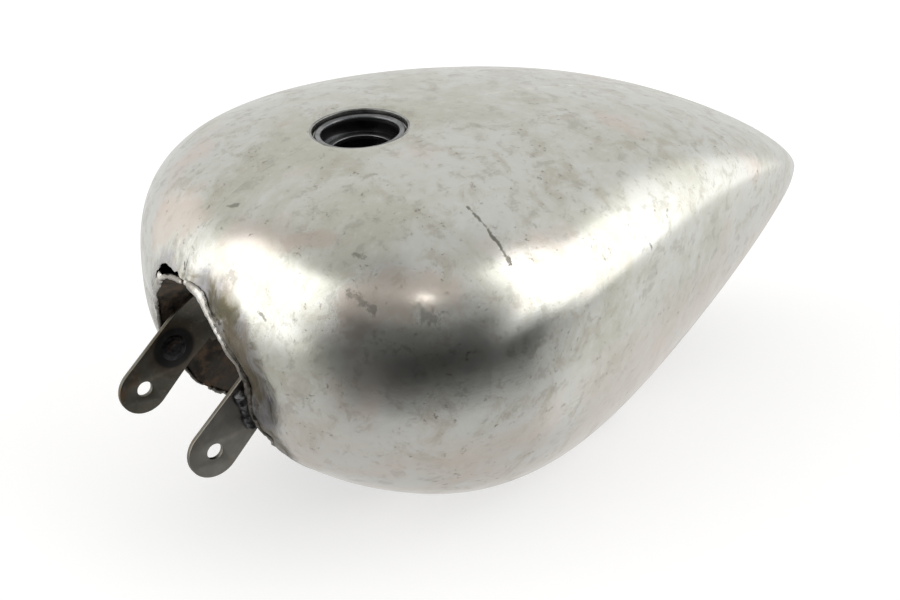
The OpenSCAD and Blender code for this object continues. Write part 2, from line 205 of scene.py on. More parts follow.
def last_angle(s, grow):
    """Angle at which the section meets the channel, or the seam where the belly is closed."""
    s = np.asarray(s, float)
    belly = angle_at(s, SEAM_HALF, -1)
    high = first_angle(s)
    low = angle_at(s, 0.0, -1)
    for _ in range(HALVINGS):
        middle = (high + low) / 2
        outside = clear_of(skin(s, middle), grow) > 0
        high = np.where(outside, middle, high)
        low = np.where(outside, low, middle)
    return np.where(clear_of(skin(s, belly), grow) < 0, high, belly)


def bisect(low, high, keeps_low):
    """Value between low and high at which keeps_low stops being true."""
    for _ in range(HALVINGS):
        middle = (low + high) / 2
        if keeps_low(middle):
            low = middle
        else:
            high = middle
    return (low + high) / 2


# The sheet begins where the crown clears the tunnel's outside by this much.
NOSE_GAP = 0.8
S_NOSE = bisect(0.002, 0.05, lambda s: clear_of(skin(s, angle_at(s, SEAM_HALF, 1)), SHEET) < NOSE_GAP)
# From this station to the tail the belly is closed.
S_END = bisect(0.7, 0.99, lambda s: clear_of(skin(s, angle_at(s, SEAM_HALF, -1))) < 0)
S_RIM_FRONT = station(FILLER_X + HOLE_R)
S_RIM_REAR = station(FILLER_X - HOLE_R)


def surface_z(x, y, side):
    """Height of the crown (side 1) or the belly (side -1) at a point of the plan."""
    return float(skin(station(x), angle_at(station(x), y, side))[2])


CROWN_Z = surface_z(FILLER_X, SEAM_HALF, 1)


# ---- Noise ----

def lattice(i, j, k, seed):
    """Hashed value of a lattice corner."""
    h = (i * 374761393 + j * 668265263 + k * 1440662683 + seed * 1274126177) & 0xFFFFFFFF
    h = ((h ^ (h >> 13)) * 1103515245) & 0xFFFFFFFF
    return ((h ^ (h >> 16)) & 0xFFFF) / 32767.5 - 1


def noise(points, size, seed):
    """Smooth seeded noise from -1 to 1 at points in space."""
    q = np.asarray(points, float) / size + 1000
    cell = np.floor(q).astype(np.int64)
    f = q - cell
    f = f * f * (3 - 2 * f)
    total = 0
    for corner in range(8):
        step = [(corner >> axis) & 1 for axis in range(3)]
        weight = 1
        for axis in range(3):
            weight = weight * (f[..., axis] if step[axis] else 1 - f[..., axis])
        total = total + weight * lattice(*(cell[..., axis] + step[axis] for axis in range(3)), seed)
    return total


def smoothstep(low, high, v):
    t = np.clip((v - low) / (high - low), 0, 1)
    return t * t * (3 - 2 * t)


# ---- Mesh building ----

def numbered(points):
    """Grid of the indices of a grid of points."""
    return np.arange(points[..., 0].size).reshape(points.shape[:2])


def grid_faces(index):
    """Quads between the neighbours in a grid of indices."""
    corners = [index[:-1, :-1], index[1:, :-1], index[1:, 1:], index[:-1, 1:]]
    return np.stack(corners, axis=-1).reshape(-1, 4)


SHARP = math.radians(50)
PLATE_SHARP = math.radians(25)


def shaded_object(name, mesh, materials, sharp):
    """Object of a mesh, smooth but for the edges with more than the angle sharp."""
    for material in materials:
        mesh.materials.append(material)
    mesh.polygons.foreach_set("use_smooth", [True] * len(mesh.polygons))
    mesh.set_sharp_from_angle(angle=sharp)
    obj = bpy.data.objects.new(name, mesh)
    bpy.context.collection.objects.link(obj)
    return obj


def make_object(name, points, faces, material):
    """Object from base-frame points, with its faces turned outwards."""
    mesh = bpy.data.meshes.new(name)
    mesh.from_pydata(placed(points).tolist(), [], [list(map(int, f)) for f in faces])
    bm = bmesh.new()
    bm.from_mesh(mesh)
    bmesh.ops.recalc_face_normals(bm, faces=bm.faces)
    bm.to_mesh(mesh)
    bm.free()
    return shaded_object(name, mesh, [material], SHARP)


def store_wear(obj, outer, inner):
    """Keep how much the mouth's heat has marked each point, for the sheet's look."""
    values = np.concatenate([outer.ravel(), inner.ravel()])
    obj.data.attributes.new("mouth", "FLOAT", "POINT").data.foreach_set("value", values)
    return obj


def sheet_parts(outer, inner):
    """Points and faces of the closed solid between two grids of points."""
    index = numbered(outer)
    ring = np.concatenate([index[0], index[1:, -1], index[-1, -2::-1], index[-2:0:-1, 0]])
    after = np.roll(ring, -1)
    edges = np.stack([ring, after, after + index.size, ring + index.size], axis=1)
    faces = np.concatenate([grid_faces(index), grid_faces(index + index.size)[:, ::-1], edges])
    return np.concatenate([outer.reshape(-1, 3), inner.reshape(-1, 3)]), faces


def joined(parts):
    """Several (points, faces) pairs as one."""
    points, faces, base = [], [], 0
    for p, f in parts:
        points.append(p)
        faces += [[base + int(v) for v in face] for face in f]
        base += len(p)
    return np.concatenate(points), faces


def full_turn(count):
    return np.linspace(0, 2 * math.pi, count, endpoint=False)


def resample(path, step):
    """Even distances along a polyline, and a function that brings values at its points to them."""
    lengths = np.concatenate([[0], np.cumsum(np.linalg.norm(np.diff(path, axis=0), axis=1))])
    count = max(3, int(lengths[-1] / step) + 1)
    at = np.linspace(0, lengths[-1], count)
    return at, lambda v: np.stack([np.interp(at, lengths, v[:, k]) for k in range(3)], axis=1)


BEAD_STEP = 0.55
BEAD_RING = 14
BEAD_TAPER = 2.5


def bead_parts(path, out, width, height, seed, ripple, pitch, ground=0.0, wander=0.5, swell=None):
    """Weld bead: a lens section swept along a path, with overlapping crescents and uneven edges.

    width is its half width, ripple and pitch are the crescents' strength and spacing, ground is how far
    the top is filed flat, from 0 to 1, wander is how far the line strays sideways, and swell scales the
    bead at each path point.
    """
    at, even = resample(path, BEAD_STEP)
    centre = even(path)
    normal = unit(even(out))
    ahead = unit(np.gradient(centre, axis=0))
    side = unit(np.cross(ahead, normal))
    normal = unit(np.cross(side, ahead))
    centre = centre + side * (noise(centre, 9, seed)[:, None] * wander)
    turn = full_turn(BEAD_RING)
    across = np.cos(turn)
    wobble = 1 + 0.3 * noise(centre, 6, seed + 1) + 0.22 * noise(centre, 2.4, seed + 3)
    if swell is not None:
        wobble = wobble * even(np.repeat(swell[:, None], 3, axis=1))[:, 0]
    points = []
    for k, angle in enumerate(turn):
        phase = (at + 1.3 * noise(centre, 6, seed + 4)) / pitch + 0.55 * across[k] ** 2
        crescent = (phase - np.floor(phase)) ** 1.6
        lump = noise(centre + across[k] * 3, 4.5, seed + 2)
        lift = np.sin(angle)
        top = height * (1 + ripple * (crescent - 0.5) + 0.28 * lump) * wobble
        top = np.minimum(top, height * (1.35 - 0.75 * ground))
        reach = width * wobble * across[k]
        rise = np.where(lift > 0, top * lift, height * 0.8 * lift)
        points.append(centre + side * reach[:, None] + normal * rise[:, None])
    ends = np.stack(points, axis=1)
    taper = smoothstep(0, BEAD_TAPER, np.minimum(at, at[-1] - at))[:, None, None]
    ends = centre[:, None] + (ends - centre[:, None]) * np.maximum(0.12, taper)
    index = numbered(ends)
    around = grid_faces(np.pad(index, ((0, 0), (0, 1)), mode="wrap"))
    faces = [*np.roll(around[:, ::-1], 1, axis=1), index[0, ::-1], index[-1]]
    return ends.reshape(-1, 3), faces


def lathe_parts(profile, segments, wobble, seed):
    """Closed profile of (radius, height) turned round z, made uneven by wobble, most of all upwards."""
    profile = np.asarray(profile, float)
    turn = full_turn(segments)
    c, s = np.cos(turn)[:, None], np.sin(turn)[:, None]
    points = xyz(profile[:, 0] * c, profile[:, 0] * s, profile[:, 1])
    points = points + wobble * noise(points, 5, seed)[..., None] * np.array([0.4, 0.4, 1.0])
    faces = grid_faces(np.pad(numbered(points), ((0, 1), (0, 1)), mode="wrap"))
    return points.reshape(-1, 3), faces


def rounded(points, radius, steps=4):
    """Closed 2-D outline with each corner cut by a small arc-like curve."""
    points = [np.array(p, float) for p in points]
    out = []
    for i, p in enumerate(points):
        before, after = points[i - 1] - p, points[(i + 1) % len(points)] - p
        r = min(radius, np.linalg.norm(before) / 2.2, np.linalg.norm(after) / 2.2)
        start, stop = p + unit(before) * r, p + unit(after) * r
        for k in range(steps + 1):
            t = k / steps
            out.append((1 - t) ** 2 * start + 2 * t * (1 - t) * p + t * t * stop)
    return out


# ---- Materials ----

class Nodes:
    """Short ways to add nodes to one tree; a value is a number, a tuple or another node's output."""

    def __init__(self, tree):
        self.tree = tree

    def put(self, socket, value):
        if isinstance(value, bpy.types.NodeSocket):
            self.tree.links.new(value, socket)
        else:
            socket.default_value = value

    def fill(self, node, **inputs):
        for key, value in inputs.items():
            self.put(node.inputs[key.replace("_", " ")], value)

    def node(self, kind, *values, operation=None, **inputs):
        node = self.tree.nodes.new(kind)
        if operation:
            node.operation = operation
        for socket, value in zip(node.inputs, values):
            self.put(socket, value)
        self.fill(node, **inputs)
        return node

    def math(self, operation, *values):
        return self.node("ShaderNodeMath", *values, operation=operation).outputs[0]

    def times(self, a, b):
        return self.math("MULTIPLY", a, b)

    def vector(self, operation, *values, **inputs):
        node = self.node("ShaderNodeVectorMath", *values, operation=operation, **inputs)
        return node.outputs["Value" if operation in ("DOT_PRODUCT", "LENGTH") else "Vector"]

    def span(self, value, low, high, to_low=0.0, to_high=1.0):
        """Smooth change from to_low to to_high while the value goes from low to high."""
        node = self.node("ShaderNodeMapRange", Value=value, From_Min=low, From_Max=high,
                         To_Min=to_low, To_Max=to_high)
        node.interpolation_type = "SMOOTHSTEP"
        return node.outputs[0]


class Look(Nodes):
    """One procedural material: a first colour, with coats of others laid over it."""

    def __init__(self, name, colour):
        self.material = bpy.data.materials.new(name)
        self.material.use_nodes = True
        super().__init__(self.material.node_tree)
        self.place = self.tree.nodes.new("ShaderNodeTexCoord").outputs["Object"]
        self.colour = (*colour, 1)

    def coat(self, tint, *masks):
        """Lay a tint over the colour so far, by the product of the masks."""
        amount = masks[0]
        for mask in masks[1:]:
            amount = self.times(amount, mask)
        node = self.tree.nodes.new("ShaderNodeMix")
        node.data_type = "RGBA"
        self.fill(node, Factor=amount, A=self.colour, B=(*tint, 1))
        self.colour = node.outputs["Result"]

    def noise(self, scale, detail=4.0, rough=0.55, distort=0.0, stretch=(1, 1, 1), turn=(0, 0, 0)):
        move = self.node("ShaderNodeMapping", Vector=self.place, Scale=stretch, Rotation=turn)
        made = self.node("ShaderNodeTexNoise", Vector=move.outputs[0], Scale=scale, Detail=detail,
                         Roughness=rough, Distortion=distort)
        return made.outputs["Fac"]

    def distance(self, centre, stretch=(1, 1, 1)):
        """Distance from a point of the base frame, in millimetres."""
        offset = self.vector("SUBTRACT", self.place, tuple(placed(centre)))
        return self.vector("LENGTH", self.vector("MULTIPLY", offset, tuple(v / MM for v in stretch)))

    def under(self, high, low, most=1.0):
        """0 above one height of the base frame, rising to most below another."""
        height = self.distance((0, 0, -BODY_LENGTH), (0, 0, 1))
        return self.span(height, BODY_LENGTH + high, BODY_LENGTH + low, 0, most)

    def stroke(self, start, stop, width, rag, core, most=1.0, stretch=(1, 1, 1)):
        """Mask of a mark between two base-frame points; rag moves its edge in and out."""
        start, stop = Vector(placed(start)), Vector(placed(stop))
        run = stop - start
        offset = self.vector("SUBTRACT", self.place, tuple(start))
        share = self.vector("DOT_PRODUCT", offset, tuple(run / run.length_squared))
        held = self.math("MINIMUM", self.math("MAXIMUM", share, 0.0), 1.0)
        foot = self.vector("SCALE", tuple(run), Scale=held)
        aside = self.vector("MULTIPLY", self.vector("SUBTRACT", offset, foot), stretch)
        apart = self.times(self.vector("LENGTH", aside), 1 / MM)
        return self.span(self.math("ADD", apart, rag), width, width * core, 0, most)

    def bump(self, height, distance, strength=1.0, under=None):
        node = self.node("ShaderNodeBump", Height=height, Distance=distance, Strength=strength)
        if under is not None:
            self.put(node.inputs["Normal"], under)
        return node.outputs[0]

    def finish(self, rough, normal, metal=1.0):
        shader = self.tree.nodes["Principled BSDF"]
        self.fill(shader, Base_Color=self.colour, Roughness=rough, Metallic=metal, Normal=normal)
        return self.material


# Marks on the shells: both ends in the base frame and half width, then the darkness or tint of some.
MARK_STRETCH = (1.0, 1.0, 0.25)
GOUGES = (
    ((136, 105, 189.5), (136, 121, 183.5), 1.1, 0.8),
    ((136, 121, 183.5), (136, 139, 171), 1.4, 0.85),
    ((37, 137.5, 155), (31, 138, 146), 0.7, 0.7),
)
SMUDGES = (
    ((211, 102, 163), (205, 115, 157), 2.0, 0.5),
    ((200, 92, 177), (197, 96, 175), 2.0, 0.5),
    ((187, 132, 156), (181, 136, 151), 3.6, 0.4),
    ((224, 6, 181), (221, 12, 181), 1.4, 0.6),
    ((241.5, 62, 146), (240, 67, 142.5), 0.8, 0.7),
    ((243, 38, 160), (241.5, 41, 156), 3.2, 0.4),
)
TAN_PATCHES = (
    ((218, 60, 179), (205, 76, 180), 6.0),
    ((212, 106, 160), (170, 134, 164), 11.0),
    ((240, -42, 163), (236, -10, 170), 13.0),
)
SCORCHES = (
    ((250, 31, 141), (247, 46, 136), 7.0, (0.11, 0.10, 0.065)),
    ((249, 46, 128), (245, 57, 96), 8.0, (0.17, 0.145, 0.105)),
)
CRACKS = (
    ((249, -1, 151.5), (251, 1, 145), 0.8),
    ((251, 11, 144), (251.5, 24, 138), 0.9),
    ((251.5, 24, 138), (250.5, 38.5, 129), 1.2),
    ((250.5, 38.5, 129), (248.5, 48, 121), 0.9),
)
TAN = (0.56, 0.47, 0.40)
GRIME = (0.13, 0.125, 0.10)
SOOT = (0.07, 0.065, 0.055)


def raw_sheet_look():
    look = Look("raw_sheet", (0.63, 0.635, 0.60))
    cloudy = look.noise(13, 5, 0.62, 0.6)
    blotchy = look.noise(42, 7, 0.66, 0.7)
    mottled = look.noise(105, 5, 0.7, 0.3)
    speckled = look.noise(230, 3, 0.7)
    warm = look.noise(17, 3, 0.5)
    fissures = look.noise(95, 6, 0.72, 1.4, stretch=(0.45, 1, 0.35))
    scorched = look.noise(60, 4, 0.6, 0.5)
    drips = look.noise(150, 3, 0.6, stretch=(1, 1, 0.12))
    wear = look.node("ShaderNodeAttribute")
    wear.attribute_name = "mouth"
    wear = wear.outputs["Fac"]

    coat, span, stroke = look.coat, look.span, look.stroke

    # The sheet away from the mouth: cloudy steel with pale and tan patches, specks and strokes of dirt.
    coat((0.535, 0.535, 0.465), span(cloudy, 0.40, 0.62))
    coat((0.475, 0.45, 0.375), span(blotchy, 0.50, 0.68, 0, 0.7))
    coat((0.70, 0.705, 0.685), span(mottled, 0.52, 0.70, 0, 0.4))
    coat((0.41, 0.40, 0.35), span(mottled, 0.48, 0.34, 0, 0.6))
    coat((0.66, 0.55, 0.49), span(warm, 0.58, 0.72, 0, 0.45))
    coat((0.68, 0.59, 0.54), look.under(120, 60, 0.6), span(cloudy, 0.3, 0.6))
    for start, stop, width in TAN_PATCHES:
        rag = span(blotchy, 0.3, 0.7, -width / 2, width / 2)
        coat(TAN, stroke(start, stop, width, rag, 0.3, 0.55, MARK_STRETCH))
    specks = span(speckled, 0.60, 0.70)
    coat((0.17, 0.155, 0.13), specks, span(blotchy, 0.44, 0.60), 0.65)
    scored = None
    for start, stop, width, dark in GOUGES + SMUDGES:
        rag = span(speckled, 0.35, 0.65, -0.5 * width, 0.5 * width)
        mark = stroke(start, stop, width, rag, 0.2, stretch=MARK_STRETCH)
        coat(GRIME, mark, dark)
        if (start, stop, width, dark) in GOUGES:
            scored = mark if scored is None else look.math("MAXIMUM", scored, mark)

    # The heated sheet at the mouth: dull, with streaks, polished and brown areas, scorches and cracks.
    coat((0.26, 0.25, 0.245), span(wear, 0.25, 0.7, 0, 0.9))
    heated = (
        ((0.25, 0.6), drips, (0.45, 0.6), (0.22, 0.19, 0.145), 0.6),
        ((0.2, 0.5), scorched, (0.46, 0.36), (0.36, 0.355, 0.375), 0.7),
        ((0.2, 0.6), scorched, (0.50, 0.62), (0.15, 0.135, 0.085), 0.8),
    )
    for reach, pattern, limits, tint, share in heated:
        coat(tint, span(wear, *reach), span(pattern, *limits), share)
    for start, stop, width, tint in SCORCHES:
        rag = span(fissures, 0.3, 0.7, -4, 4)
        coat(tint, stroke(start, stop, width, rag, 0.3, 0.85))
    coat((0.10, 0.09, 0.07), span(wear, 0.5, 1.0), span(fissures, 0.52, 0.66), 0.8)
    for start, stop, width in CRACKS:
        rag = span(speckled, 0.35, 0.65, -0.6 * width, 0.6 * width)
        coat(SOOT, stroke(start, stop, width, rag, 0.3, 0.85))

    brushing = look.noise(60, 3, 0.6, stretch=(1, 14, 14), turn=(0, 0.1, 0.25))
    clean = span(blotchy, 0.3, 0.7, 0.19, 0.27)
    rough = look.math("ADD", clean, span(wear, 0.35, 0.9, 0, 0.28))
    normal = look.bump(look.noise(900, 2, 0.6), 0.00002, 0.6)
    normal = look.bump(brushing, 0.00003, 0.4, normal)
    normal = look.bump(look.math("SUBTRACT", 0.0, scored), 0.0003, 0.5, normal)
    normal = look.bump(fissures, 0.0011, look.times(wear, 0.8), normal)
    return look.finish(rough, normal)


def tunnel_look():
    # The very dark base colour is painted shade of the tunnel's inside; the brown coat over it is rust.
    look = Look("tunnel_sheet", (0.095, 0.088, 0.078))
    rusty = look.noise(120, 8, 0.72, 0.2)
    look.coat((0.045, 0.04, 0.035), look.span(look.noise(22, 5, 0.6, 0.5), 0.35, 0.65))
    look.coat((0.15, 0.095, 0.055), look.span(rusty, 0.42, 0.66), 0.8)
    rough = look.span(rusty, 0.35, 0.7, 0.42, 0.75)
    metal = look.span(rusty, 0.42, 0.66, 0.95, 0.4)
    return look.finish(rough, look.bump(rusty, 0.0004, 0.5), metal)


def weld_look(name, bright, dark, rust=0.3, shade_below=None):
    """Weld metal with heat tints; below a height of the base frame it is painted black, as painted
    shade inside the mouth and tunnel.
    """
    look = Look(name, bright)
    fine = look.noise(400, 4, 0.65)
    look.coat(dark, look.span(look.noise(70, 4, 0.6), 0.36, 0.62))
    look.coat((0.26, 0.16, 0.09), look.span(look.noise(45, 3, 0.5, 0.8), 0.56, 0.72, 0, rust))
    if shade_below is not None:
        # Painted shade: the bead is coloured black below this height, inside the mouth and tunnel.
        look.coat((0.11, 0.10, 0.088), look.under(shade_below + 8, shade_below - 8, 0.9))
    return look.finish(look.span(fine, 0.3, 0.7, 0.22, 0.5), look.bump(fine, 0.0003, 0.6))


def ear_look():
    """Dark plate with a black ring and a brown halo round the plug weld, and an outer face painted
    paler as painted light, against the inner face in the tunnel's shade.
    """
    look = Look("ear_plate", (0.145, 0.136, 0.114))
    plug_x, plug_z = plug_centre()
    near = look.distance((plug_x, 0, plug_z), (1, 0, 1))
    fine = look.noise(260, 4, 0.65)
    look.coat((0.082, 0.076, 0.06), look.span(look.noise(30, 5, 0.6, 0.4), 0.36, 0.64))
    look.coat((0.25, 0.235, 0.195), look.span(fine, 0.55, 0.72, 0, 0.5))
    look.coat((0.02, 0.02, 0.023), look.span(near, 5.5, 7.5), look.span(near, 12, 15, 1, 0), 0.85)
    look.coat((0.10, 0.07, 0.045), look.span(near, 12, 14), look.span(near, 14, 21, 1, 0), 0.4)
    rusty = look.span(look.noise(60, 6, 0.65), 0.54, 0.68)
    look.coat((0.20, 0.12, 0.065), rusty, look.span(near, 18, 34), 0.5)
    # Painted light: the outer face is coloured paler than the inner face, which lies in the tunnel's
    # shade.
    sideways = look.distance((0, 0, 0), (0, 1, 0))
    look.coat((0.33, 0.32, 0.295), look.span(sideways, EAR_FACE - 1.2, EAR_FACE - 0.2, 0, 0.55))
    return look.finish(look.span(fine, 0.3, 0.7, 0.36, 0.52), look.bump(fine, 0.0001, 0.5))


def edge_look():
    # Filed bare steel; its pale, nearly non-metal finish is also a painted highlight that keeps the
    # edge bright in the tunnel's shade.
    look = Look("cut_edge", (0.80, 0.79, 0.76))
    strokes = look.noise(500, 3, 0.6, stretch=(1, 0.08, 1))
    look.coat((0.60, 0.585, 0.55), look.span(strokes, 0.35, 0.65))
    return look.finish(look.span(strokes, 0.3, 0.7, 0.42, 0.58), look.bump(strokes, 0.0001, 0.5), 0.1)


def turned_look(name, base, oil, dark_from=None):
    """Turned steel; between dark_from, a depth under the crown, and the seat it is painted black, as
    painted shade inside the bore.
    """
    look = Look(name, base)
    cloudy = look.noise(60, 4, 0.6, 0.3)
    rings = look.noise(30, 2, 0.5, stretch=(0.3, 0.3, 60))
    look.coat(oil, look.span(cloudy, 0.38, 0.66))
    if dark_from is not None:
        # Painted shade: the bore's wall from this depth down to the seat is coloured black.
        depth = look.distance((FILLER_X, 0, CROWN_Z), (0, 0, 1))
        look.coat((0.045, 0.045, 0.045), look.span(depth, dark_from, dark_from + 2),
                  look.span(depth, SEAT_DEPTH + 2, SEAT_DEPTH + 3, 1, 0))
    return look.finish(look.span(cloudy, 0.3, 0.7, 0.24, 0.40), look.bump(rings, 0.00005, 0.5))


# ---- Pieces ----

FRONT_STEPS, RIM_STEPS, MIDDLE_STEPS, TAIL_STEPS = 62, 30, 84, 30
COLUMNS, TUNNEL_COLUMNS, SEAM_COLUMNS = 130, 120, 6
# How strongly the rows gather at the front edge, and a shell's columns at its seam and its joint.
FRONT_CROWDING = 1.7
EDGE_CROWDING = 0.86
# Share of a shell's outer marks that its inner face shows.
INNER_WEAR = 0.3


def body_rows():
    """Stations of the mesh, closest at the front edge, round the filler and at the tail's tip."""
    share = (np.arange(FRONT_STEPS + 1) / FRONT_STEPS) ** FRONT_CROWDING
    front = S_NOSE + (S_RIM_FRONT - S_NOSE) * share
    rim = station(FILLER_X + HOLE_R * np.cos(math.pi * np.arange(1, RIM_STEPS + 1) / RIM_STEPS))
    middle = S_RIM_REAR + (S_END - S_RIM_REAR) * np.arange(1, MIDDLE_STEPS + 1) / MIDDLE_STEPS
    tail = S_END + (TIP - S_END) * (1 - (1 - np.arange(1, TAIL_STEPS + 1) / TAIL_STEPS) ** 2)
    return np.concatenate([front, rim, middle, tail])


ROWS = body_rows()
TUNNEL_ROWS = ROWS[ROWS <= S_END - 0.0005]

# Uneven heights of the sheet in millimetres: amount, size and seed of each noise.
PRESSING = ((0.16, 70, 3), (0.07, 28, 5))
HAMMERING = ((0.95, 17, 11), (0.5, 8, 13), (0.2, 3.6, 17))
FOLDS = 0.5
HEAT_FROM = HALF_LENGTH - 6
HEAT_LENGTH = 46.0
RIM_FALL = 1.1
CROWN_DEPTH = 30.0


def uneven(p, layers):
    return sum(amount * noise(p, size, seed) for amount, size, seed in layers)


def mouth_nearness(p, reach):
    """1 at the mouth's edge, fading to 0 where the sheet was left alone."""
    gap = np.maximum(clear_of(p, SHEET), 0)
    back = np.maximum(0, (HEAT_FROM - p[..., 0]) / HEAT_LENGTH)
    ragged = 6 * noise(p, 13, 31)
    return smoothstep(reach, 2, gap + ragged) * smoothstep(1.0, 0.55, back)


def dented(p, normal):
    """Skin with the slow waves of pressing, hammer marks at the mouth and a flat seat at the filler.

    Also gives how much heat has marked each point.
    """
    rim = np.hypot(p[..., 0] - FILLER_X, p[..., 1])
    on_crown = p[..., 2] > CROWN_Z - CROWN_DEPTH
    plane = CROWN_Z - (p[..., 0] - FILLER_X) * math.tan(FILLER_LEAN) - 0.4
    flat = smoothstep(HOLE_R + 16, HOLE_R + 1, rim)
    folds = 0.5 - np.abs(noise(p * np.array([1, 1, 0.6]), 9, 19))
    hammer = mouth_nearness(p, 30) * (uneven(p, HAMMERING) + FOLDS * folds)
    height = (uneven(p, PRESSING) * (1 - flat) + hammer) * smoothstep(0, 3, rim - HOLE_R + 3)
    moved = p + normal * height[..., None]
    moved[..., 2] += flat * (plane - p[..., 2]) * on_crown
    moved[..., 2] -= RIM_FALL * smoothstep(HOLE_R + 3.0, HOLE_R, rim) * on_crown
    scorched = mouth_nearness(p, 38) * (0.45 + 0.55 * smoothstep(4, 26, p[..., 1]))
    dulled = 0.42 * mouth_nearness(p, 80) * smoothstep(128, 100, p[..., 2])
    return moved, np.maximum(scorched, dulled)


SPLAY = 4.5
CUT_BACK = 5.0
SPLAY_X = (226, 240)
SPLAY_Z = (122, 100)
SPLAY_REACH = 42


def splayed(p):
    """The mouth's upright sides, beaten outwards and cut back where the ears go in."""
    amount = smoothstep(*SPLAY_X, p[..., 0]) * smoothstep(*SPLAY_Z, p[..., 2])
    amount = amount * smoothstep(SPLAY_REACH, 0, clear_of(p, SHEET))
    out = p.copy()
    out[..., 0] -= CUT_BACK * amount
    out[..., 1] += np.sign(p[..., 1]) * SPLAY * amount
    return out


SLOT_FROM, SLOT_TO = 4.0, 36.0
SLOT_DEPTH = 0.0022
SLOT_FADE = 0.01
SLOT_ABOVE = 0.4


def slot_pull(y, side):
    """How far the front edge is burnt back over the right side of the arch, as a change of station."""
    if side > 0:
        return 0 * y
    shape = smoothstep(SLOT_FROM - 2, SLOT_FROM + 2, y) * smoothstep(SLOT_TO, SLOT_TO - 5, y)
    ragged = 0.75 + 0.5 * noise(xyz(y, 0, 0), 4.5, 43)
    return SLOT_DEPTH * shape * ragged


def shell(name, side, material):
    s = ROWS[:, None]
    high, low = first_angle(s), last_angle(s, SHEET)
    t = np.arange(COLUMNS + 1) / COLUMNS
    u = t - EDGE_CROWDING * np.sin(2 * math.pi * t) / (2 * math.pi)
    a = high + (low - high) * u
    y = skin(s, a)[..., 1]
    s = s + slot_pull(y, side) * np.exp(-(s - S_NOSE) / SLOT_FADE) * (a > SLOT_ABOVE)
    normal = mirrored(skin_normal(s, a), side)
    moved, mouth = dented(mirrored(skin(s, a), side), normal)
    moved = splayed(moved)
    inner = moved - SHEET * normal
    inner[..., 1] = side * np.maximum(SEAM_HALF, side * inner[..., 1])
    inner[:, 0, 1] = moved[:, 0, 1]
    points, faces = sheet_parts(moved, inner)
    return store_wear(make_object(name, points, faces, material), mouth, INNER_WEAR * mouth)


LIP_REACH = 0.02
LIP_EDGE = ((1.3, 6, 51), (0.6, 2.2, 53))


def tunnel_parts():
    """The channel's sheet, from one joint with the shells over the arch to the other."""
    s = TUNNEL_ROWS[:, None]
    x = along(s)
    meeting = skin(s, last_angle(s, SHEET))
    up = meeting[..., 2] - spring_z(x)
    r = channel_r(x)
    reach = np.where(up > 0, np.arctan2(meeting[..., 1], up) * r, r * math.pi / 2 - up)
    v = np.linspace(-1, 1, TUNNEL_COLUMNS + 1) * reach
    quarter = r * math.pi / 2
    turn = np.minimum(np.abs(v), quarter) / r

    def layer(grow):
        y = np.sign(v) * (r + grow) * np.sin(turn)
        z = spring_z(x) + (r + grow) * np.cos(turn) - np.maximum(0, np.abs(v) - quarter)
        return xyz(x, y, z)

    inside, outside = layer(0.0), layer(SHEET)
    lip = smoothstep(LIP_REACH, 0.0, s - S_NOSE)
    ragged = uneven(xyz(0, v, 0), LIP_EDGE)
    for p in (inside, outside):
        bend = 0.25 * noise(p, 24, 57) + lip * 0.5 * noise(p, 8, 59)
        p[..., 0] += lip * ragged
        p[..., 1] += bend * np.sin(v / r)
        p[..., 2] += bend * np.cos(v / r)
    return sheet_parts(splayed(outside), splayed(inside))


SEAM_LAP = 0.05
TAIL_INSET = 0.35


def seam_object(name, stations, closes_tail, material):
    """Ground seam weld, flush with the two shells, over the crown and, past the tail, back under it."""
    def line(side_of, rows):
        y = np.linspace(-1, 1, SEAM_COLUMNS + 1) * (SEAM_HALF + SEAM_LAP)
        a = np.stack([angle_at(rows, max(SEAM_LAP, abs(v)), side_of) for v in y], axis=1)
        p = skin(rows[:, None], a)
        n = skin_normal(rows[:, None], a)
        sign = np.sign(y) + (y == 0)
        p[..., 1] = y
        n[..., 1] *= sign
        moved, mouth = dented(p, n)
        proud = 0.06 + 0.10 * noise(moved, 3.0, 61) + 0.5 * mouth * noise(moved, 4.0, 63)
        moved = moved + n * proud[..., None]
        return moved, moved - SHEET * n, mouth

    outer, inner, mouth = line(1, stations)
    if closes_tail:
        outer_u, inner_u, mouth_u = line(-1, ROWS[ROWS >= S_END][::-1])
        y = outer[:1, :, 1]
        cap = xyz(TAIL_INSET - HALF_LENGTH, y, bezier(SHOULDER_PULL, TIP))
        outer = np.concatenate([outer, cap, outer_u])
        inner = np.concatenate([inner, cap + np.array([SHEET, 0, 0]), inner_u])
        mouth = np.concatenate([mouth, 0 * y, mouth_u])
    points, faces = sheet_parts(outer, inner)
    return store_wear(make_object(name, points, faces, material), mouth, mouth)


def joint_line(stations, side):
    """Where a shell meets the channel, with outward directions."""
    low = last_angle(stations, SHEET / 2)
    out = skin_normal(stations, np.maximum(low, math.radians(-85)))
    return mirrored(skin(stations, low), side), mirrored(out, side)


def arch_line(side, reach):
    """The front edge over the arch, from the seam outwards to the joint with the channel."""
    low = float(last_angle(S_NOSE, SHEET / 2))
    high = math.radians(89)
    a = high + (low - high) * np.linspace(*reach, 30)
    return mirrored(skin(S_NOSE, a), side), mirrored(skin_normal(S_NOSE + 0 * a, a), side)


MOUTH_DEPTH = 32.0


